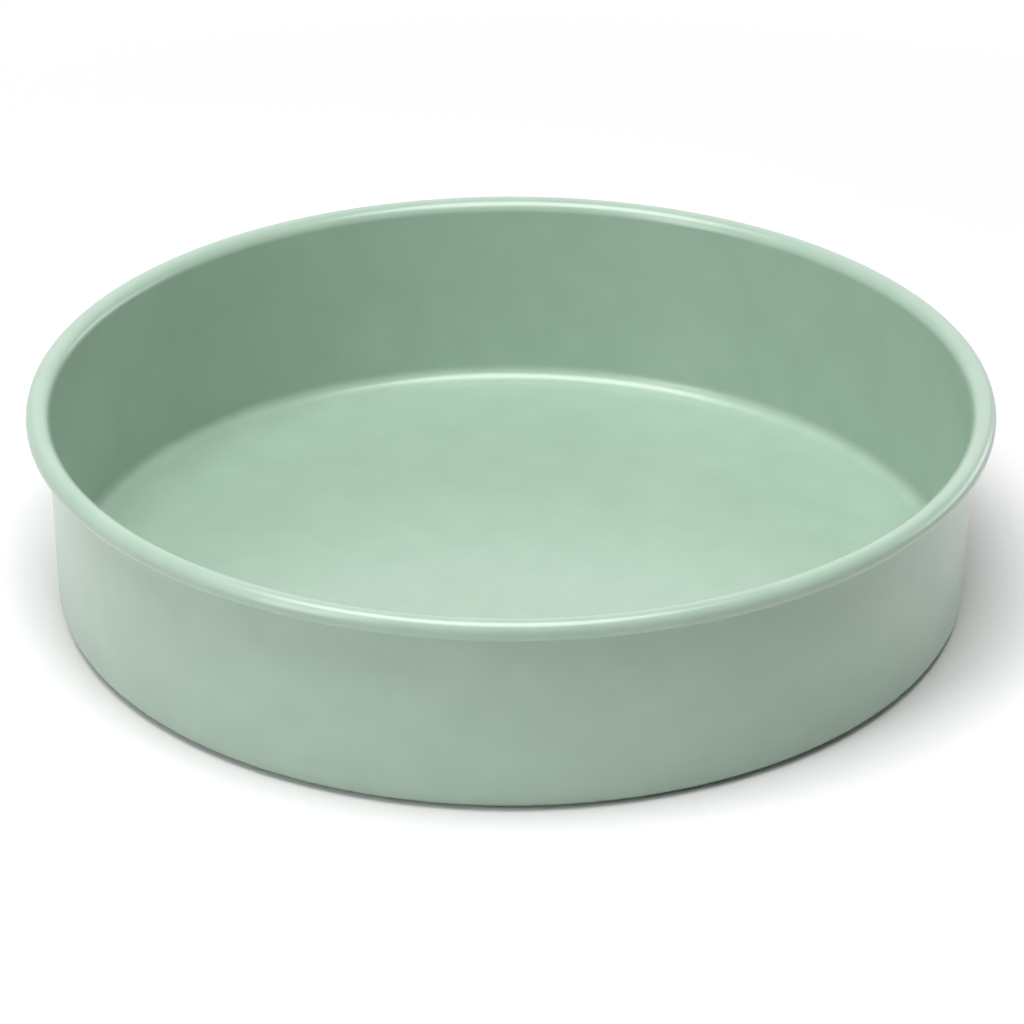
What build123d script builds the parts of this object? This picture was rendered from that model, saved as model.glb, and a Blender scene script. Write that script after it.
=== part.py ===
from build123d import *
from math import cos, radians, sin, tan
import os

# driving dimensions, in millimetres, and the wall's lean in degrees
inside_diameter = 228.6  # across the mouth, between the wall's inner faces
overall_height = 53.2  # from the underside of the base to the crown of the rim
sheet = 0.8  # thickness of the steel that the tin is drawn from
wall_lean = 0.8  # outward lean of the wall, from upright
corner_radius = 4.0  # inside corner between the base and the wall
shoulder_radius = 3.2  # upper surface of the bend from the wall out into the rim
wire_diameter = 3.4  # hoop that stiffens the rim
wire_clearance = 0.05  # between the hoop and the sheet curled round it
rim_level = 0.3  # level run on top of the rim, from the shoulder to the curl
edge_gap = 0.4  # between the curl's cut edge and the outside of the wall

# radii to the middle of the sheet, at the base's corner, the shoulder and the curl
corner_middle = corner_radius + sheet / 2
shoulder_middle = shoulder_radius - sheet / 2
curl_middle = wire_diameter / 2 + wire_clearance + sheet / 2
curl_outside = curl_middle + sheet / 2

# the wall runs tangent from the corner to the shoulder, and the rim is level out to the hoop
lean = radians(wall_lean)
inside_radius = inside_diameter / 2
shoulder_height = overall_height - shoulder_radius
wire_height = overall_height - curl_outside
wall_top = shoulder_height + shoulder_middle * sin(lean)
wall_rise = wall_top - (sheet + corner_radius - corner_middle * sin(lean))
crown_radius = inside_radius + shoulder_radius * cos(lean)
hoop_radius = crown_radius + rim_level
floor_radius = crown_radius - (shoulder_middle + corner_middle) * cos(lean) - wall_rise * tan(lean)
cut_edge_radius = inside_radius + sheet / cos(lean) + edge_gap

# shell: base, corner, wall and outward curl, drawn from one sheet and traced along its middle
with BuildPart() as tin_shell:
    with BuildSketch(Plane.XZ):
        with BuildLine():
            floor = Line((0, sheet / 2), (floor_radius, sheet / 2))
            corner = JernArc(floor @ 1, floor % 1, corner_middle, 90 - wall_lean)
            wall = PolarLine(corner @ 1, wall_rise, 90 - wall_lean, length_mode=LengthMode.VERTICAL)
            shoulder = JernArc(wall @ 1, wall % 1, shoulder_middle, wall_lean - 90)
            level = PolarLine(shoulder @ 1, rim_level, 0)
            curl = JernArc(level @ 1, level % 1, curl_middle, -180)
            Line(curl @ 1, (cut_edge_radius, wire_height - curl_middle))
        trace(line_width=sheet)
    revolve(axis=Axis.Z)

# hoop: a closed ring of round wire, held in the outer end of the curl
with BuildPart() as rim_wire:
    with BuildSketch(Plane.XZ):
        with Locations((hoop_radius, wire_height)):
            Circle(wire_diameter / 2)
    revolve(axis=Axis.Z)

os.makedirs("parts", exist_ok=True)
tin_shell.part.label = "tin_shell"
rim_wire.part.label = "rim_wire"
export_step(tin_shell.part, "parts/tin_shell.step")
export_step(rim_wire.part, "parts/rim_wire.step")
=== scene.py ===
from math import cos, pi, radians, sin, tan

import bpy
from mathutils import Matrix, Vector


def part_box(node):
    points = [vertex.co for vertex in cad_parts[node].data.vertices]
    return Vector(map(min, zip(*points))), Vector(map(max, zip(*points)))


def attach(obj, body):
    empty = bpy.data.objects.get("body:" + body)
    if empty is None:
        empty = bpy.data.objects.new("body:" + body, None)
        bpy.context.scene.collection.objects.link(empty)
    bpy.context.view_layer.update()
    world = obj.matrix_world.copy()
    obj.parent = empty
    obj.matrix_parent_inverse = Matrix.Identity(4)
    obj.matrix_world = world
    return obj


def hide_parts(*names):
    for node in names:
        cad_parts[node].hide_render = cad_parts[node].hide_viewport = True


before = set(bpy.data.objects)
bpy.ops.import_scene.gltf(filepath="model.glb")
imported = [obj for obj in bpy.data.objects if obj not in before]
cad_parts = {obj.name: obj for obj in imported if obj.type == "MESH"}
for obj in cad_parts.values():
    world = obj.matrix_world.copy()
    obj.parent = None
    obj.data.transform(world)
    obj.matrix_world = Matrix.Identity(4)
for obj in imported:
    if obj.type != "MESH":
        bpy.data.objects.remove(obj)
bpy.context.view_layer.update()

# sizes of the tin, in metres; its height and its reach come from the frame
top_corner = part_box("tin_shell")[1]
height = top_corner.z
rim_radius = top_corner.x
sheet = 0.0008  # thickness of the steel
wall_lean = radians(0.8)  # outward lean of the wall, from upright
corner_radius = 0.004  # inside corner between the base and the wall
shoulder_radius = 0.0032  # upper surface of the bend from the wall out into the rim
wire_radius = 0.0017  # hoop in the rim
wire_clearance = 0.00005  # between the hoop and the curl
rim_level = 0.0003  # level run on top of the rim, from the shoulder to the curl
edge_gap = 0.0004  # between the curl's cut edge and the wall

# faces round the tin, and along its section's bends and its curl
around = 360
bend_steps = 14
curl_steps = 24

# the room
floor_size = 8
paper_white = 0.84  # of the floor, as the light meets it
paper_tone = 0.88  # of the floor, as the camera sees it
shadow_reach = 0.2  # from the tin's axis; past it the camera sees the floor fade to plain white
white = (1, 1, 1)
faint_rose = (1.05, 1, 1.04)

# radii to the middle of the sheet, and the centres of the section's turns
corner_middle = corner_radius + sheet / 2
shoulder_middle = shoulder_radius - sheet / 2
curl_middle = wire_radius + wire_clearance + sheet / 2
curl_outside = curl_middle + sheet / 2
shoulder_height = height - shoulder_radius
wire_height = height - curl_outside
hoop_radius = rim_radius - curl_outside
crown_radius = hoop_radius - rim_level
inside_radius = crown_radius - shoulder_radius * cos(wall_lean)
wall_top = shoulder_height + shoulder_middle * sin(wall_lean)
wall_rise = wall_top - (sheet + corner_radius - corner_middle * sin(wall_lean))
wall_run = wall_rise * tan(wall_lean)
floor_radius = crown_radius - (shoulder_middle + corner_middle) * cos(wall_lean) - wall_run
cut_edge_radius = inside_radius + sheet / cos(wall_lean) + edge_gap


def nothing_selected():
    if bpy.context.object and bpy.context.object.mode == "EDIT":
        bpy.ops.object.mode_set(mode="OBJECT")
    bpy.ops.object.select_all(action="DESELECT")


def start_section(name, place):
    """A new piece in edit mode, with one vertex at place."""
    nothing_selected()
    bpy.ops.mesh.primitive_plane_add(size=sheet)
    piece = bpy.context.object
    piece.name = piece.data.name = name
    bpy.ops.object.mode_set(mode="EDIT")
    bpy.ops.mesh.select_all(action="SELECT")
    bpy.ops.mesh.merge(type="CENTER")
    bpy.ops.transform.translate(value=place)
    return piece


def run(across, up):
    """Carries the section on in a straight line from its last vertex."""
    bpy.ops.mesh.extrude_region_move(TRANSFORM_OT_translate={"value": (across, 0, up)})


def turn(centre_across, centre_up, angle, steps):
    """Carries the section on round a centre; a turn to the left is positive."""
    centre = (centre_across, 0, centre_up)
    bpy.ops.mesh.spin(steps=steps, angle=angle, center=centre, axis=(0, 1, 0))


def lathe(steps):
    """Spins the section round the tin's axis and closes the seam and the pole."""
    bpy.ops.mesh.select_all(action="SELECT")
    bpy.ops.mesh.spin(steps=steps, angle=2 * pi, center=(0, 0, 0), axis=(0, 0, 1))
    bpy.ops.mesh.select_all(action="SELECT")
    bpy.ops.mesh.remove_doubles(threshold=sheet / 1000)
    bpy.ops.mesh.normals_make_consistent(inside=False)
    bpy.ops.object.mode_set(mode="OBJECT")


def make_shell():
    """Base, corner, wall and rolled rim, from one sheet: its middle is lathed, then thickened."""
    piece = start_section("shell", (0, 0, sheet / 2))
    run(floor_radius, 0)
    turn(floor_radius, sheet + corner_radius, pi / 2 - wall_lean, bend_steps)
    run(wall_run, wall_rise)
    turn(crown_radius, shoulder_height, -(pi / 2 - wall_lean), bend_steps)
    run(rim_level, 0)
    turn(hoop_radius, wire_height, -pi, curl_steps)
    run(cut_edge_radius - hoop_radius, 0)
    lathe(around)
    thicken = piece.modifiers.new("thickness", "SOLIDIFY")
    thicken.thickness = sheet
    thicken.offset = 0
    thicken.use_even_offset = True
    thicken.use_quality_normals = True
    bpy.ops.object.modifier_apply(modifier="thickness")
    bpy.ops.object.shade_smooth_by_angle(angle=radians(40))
    return piece


def new_material(name):
    material = bpy.data.materials.new(name)
    material.use_nodes = True
    nodes = material.node_tree.nodes
    nodes.clear()
    output = nodes.new("ShaderNodeOutputMaterial")
    return material, nodes, material.node_tree.links, output


def coating():
    """Satin sage-green non-stick coat, faintly mottled, with a fine orange-peel surface."""
    material, nodes, links, output = new_material("sage_coating")
    shader = nodes.new("ShaderNodeBsdfPrincipled")
    shader.inputs["IOR"].default_value = 1.5
    shader.inputs["Coat Weight"].default_value = 0.35
    shader.inputs["Coat Roughness"].default_value = 0.22
    links.new(shader.outputs["BSDF"], output.inputs["Surface"])
    place = nodes.new("ShaderNodeTexCoord")

    mottle = nodes.new("ShaderNodeTexNoise")
    mottle.inputs["Scale"].default_value = 90
    mottle.inputs["Detail"].default_value = 3
    tone = nodes.new("ShaderNodeValToRGB")
    tone.color_ramp.elements[0].position = 0.3
    tone.color_ramp.elements[0].color = (0.316, 0.440, 0.348, 1)
    tone.color_ramp.elements[1].position = 0.7
    tone.color_ramp.elements[1].color = (0.340, 0.468, 0.372, 1)
    links.new(place.outputs["Object"], mottle.inputs["Vector"])
    links.new(mottle.outputs["Fac"], tone.inputs["Fac"])
    links.new(tone.outputs["Color"], shader.inputs["Base Color"])

    sheen = nodes.new("ShaderNodeMapRange")
    sheen.inputs["To Min"].default_value = 0.27
    sheen.inputs["To Max"].default_value = 0.33
    links.new(mottle.outputs["Fac"], sheen.inputs["Value"])
    links.new(sheen.outputs["Result"], shader.inputs["Roughness"])

    peel = nodes.new("ShaderNodeTexNoise")
    peel.inputs["Scale"].default_value = 900
    peel.inputs["Detail"].default_value = 1
    relief = nodes.new("ShaderNodeBump")
    relief.inputs["Strength"].default_value = 0.25
    relief.inputs["Distance"].default_value = 0.00002
    links.new(place.outputs["Object"], peel.inputs["Vector"])
    links.new(peel.outputs["Fac"], relief.inputs["Height"])
    links.new(relief.outputs["Normal"], shader.inputs["Normal"])
    return material


def drawn_wire():
    """Bare drawn steel with a thin, cloudy grey film."""
    material, nodes, links, output = new_material("drawn_wire")
    shader = nodes.new("ShaderNodeBsdfPrincipled")
    shader.inputs["Metallic"].default_value = 1
    links.new(shader.outputs["BSDF"], output.inputs["Surface"])
    place = nodes.new("ShaderNodeTexCoord")
    film = nodes.new("ShaderNodeTexNoise")
    film.inputs["Scale"].default_value = 400
    film.inputs["Detail"].default_value = 4
    tone = nodes.new("ShaderNodeValToRGB")
    tone.color_ramp.elements[0].color = (0.42, 0.42, 0.43, 1)
    tone.color_ramp.elements[1].color = (0.58, 0.58, 0.59, 1)
    dull = nodes.new("ShaderNodeMapRange")
    dull.inputs["To Min"].default_value = 0.28
    dull.inputs["To Max"].default_value = 0.45
    links.new(place.outputs["Object"], film.inputs["Vector"])
    links.new(film.outputs["Fac"], tone.inputs["Fac"])
    links.new(tone.outputs["Color"], shader.inputs["Base Color"])
    links.new(film.outputs["Fac"], dull.inputs["Value"])
    links.new(dull.outputs["Result"], shader.inputs["Roughness"])
    return material


def seen_directly(nodes, links):
    """1 where the camera sees a surface itself, or in a glossy or clear one."""
    path = nodes.new("ShaderNodeLightPath")
    either = nodes.new("ShaderNodeMath")
    either.operation = "MAXIMUM"
    links.new(path.outputs["Is Camera Ray"], either.inputs[0])
    links.new(path.outputs["Is Glossy Ray"], either.inputs[1])
    any_of = nodes.new("ShaderNodeMath")
    any_of.operation = "MAXIMUM"
    links.new(either.outputs["Value"], any_of.inputs[0])
    links.new(path.outputs["Is Transmission Ray"], any_of.inputs[1])
    return any_of.outputs["Value"]


def white_paper():
    """Matt white floor that takes the tin's shadow; the camera sees it fade to plain white far off."""
    material, nodes, links, output = new_material("white_paper")
    matt = nodes.new("ShaderNodeBsdfDiffuse")
    matt.inputs["Color"].default_value = (paper_white, paper_white, paper_white, 1)
    toned = nodes.new("ShaderNodeBsdfDiffuse")
    toned.inputs["Color"].default_value = (paper_tone, paper_tone, paper_tone, 1)
    plain = nodes.new("ShaderNodeEmission")
    place = nodes.new("ShaderNodeTexCoord")
    distance = nodes.new("ShaderNodeVectorMath")
    distance.operation = "LENGTH"
    fade = nodes.new("ShaderNodeMapRange")
    fade.inputs["From Min"].default_value = shadow_reach
    fade.inputs["From Max"].default_value = 2 * shadow_reach
    links.new(place.outputs["Object"], distance.inputs[0])
    links.new(distance.outputs["Value"], fade.inputs["Value"])
    seen = nodes.new("ShaderNodeMixShader")
    links.new(fade.outputs["Result"], seen.inputs["Fac"])
    links.new(toned.outputs["BSDF"], seen.inputs[1])
    links.new(plain.outputs["Emission"], seen.inputs[2])
    mix = nodes.new("ShaderNodeMixShader")
    links.new(seen_directly(nodes, links), mix.inputs["Fac"])
    links.new(matt.outputs["BSDF"], mix.inputs[1])
    links.new(seen.outputs["Shader"], mix.inputs[2])
    links.new(mix.outputs["Shader"], output.inputs["Surface"])
    return material


def make_floor():
    nothing_selected()
    bpy.ops.mesh.primitive_plane_add(size=floor_size)
    floor = bpy.context.object
    floor.name = floor.data.name = "floor"
    floor.data.materials.append(white_paper())
    return floor


def room_light():
    """White room, seen by the camera itself and in gloss; the panels alone light the tin."""
    world = bpy.data.worlds.new("white_room")
    bpy.context.scene.world = world
    world.use_nodes = True
    nodes, links = world.node_tree.nodes, world.node_tree.links
    nodes.clear()
    output = nodes.new("ShaderNodeOutputWorld")
    unlit = nodes.new("ShaderNodeBackground")
    unlit.inputs["Color"].default_value = (1, 1, 1, 1)
    unlit.inputs["Strength"].default_value = 0
    seen = nodes.new("ShaderNodeBackground")
    seen.inputs["Color"].default_value = (1, 1, 1, 1)
    seen.inputs["Strength"].default_value = 1
    mix = nodes.new("ShaderNodeMixShader")
    links.new(seen_directly(nodes, links), mix.inputs["Fac"])
    links.new(unlit.outputs["Background"], mix.inputs[1])
    links.new(seen.outputs["Background"], mix.inputs[2])
    links.new(mix.outputs["Shader"], output.inputs["Surface"])


def soft_panel(name, azimuth, elevation, distance, width, depth, brightness, tint):
    """A soft panel that faces the tin. Azimuth 0 is the camera's side, brightness 1 is white paper's."""
    a, e = radians(azimuth), radians(elevation)
    aim = Vector((0, 0, height / 2))
    place = aim + distance * Vector((sin(a) * cos(e), -cos(a) * cos(e), sin(e)))
    lamp = bpy.data.lights.new(name, "AREA")
    lamp.shape = "RECTANGLE"
    lamp.size = width
    lamp.size_y = depth
    lamp.energy = brightness * pi * width * depth
    lamp.color = tint
    panel = bpy.data.objects.new(name, lamp)
    panel.location = place
    panel.rotation_euler = (aim - place).to_track_quat("-Z", "Y").to_euler()
    panel.visible_camera = False
    bpy.context.scene.collection.objects.link(panel)


def make_camera():
    """A long lens from the front, looking down on the tin."""
    distance = 1.081
    look_down = radians(27.9)
    aim = Vector((0.00025, 0, 0.0183))
    camera_data = bpy.data.cameras.new("camera")
    camera_data.sensor_width = 36
    camera_data.lens = 150.4
    camera = bpy.data.objects.new("camera", camera_data)
    camera.location = aim + distance * Vector((0, -cos(look_down), sin(look_down)))
    camera.rotation_euler = (pi / 2 - look_down, 0, 0)
    bpy.context.scene.collection.objects.link(camera)
    bpy.context.scene.camera = camera


make_camera()

shell = make_shell()
shell.data.materials.append(coating())
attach(shell, "root")
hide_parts("tin_shell")

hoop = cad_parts["rim_wire"]
hoop.material_slots[0].material = drawn_wire()

make_floor()
room_light()
soft_panel("overhead_panel", azimuth=-24, elevation=79, distance=1.2,
           width=1.14, depth=0.8, brightness=7.2, tint=white)
soft_panel("front_left_panel", azimuth=-47, elevation=22, distance=1.6,
           width=0.5, depth=1.3, brightness=4.0, tint=faint_rose)
soft_panel("rear_panel", azimuth=178, elevation=33, distance=1.6,
           width=1.7, depth=1.1, brightness=0.5, tint=faint_rose)
soft_panel("low_right_panel", azimuth=118, elevation=9, distance=1.6,
           width=1.1, depth=0.46, brightness=2.6, tint=faint_rose)

bpy.context.scene.view_settings.view_transform = "Standard"
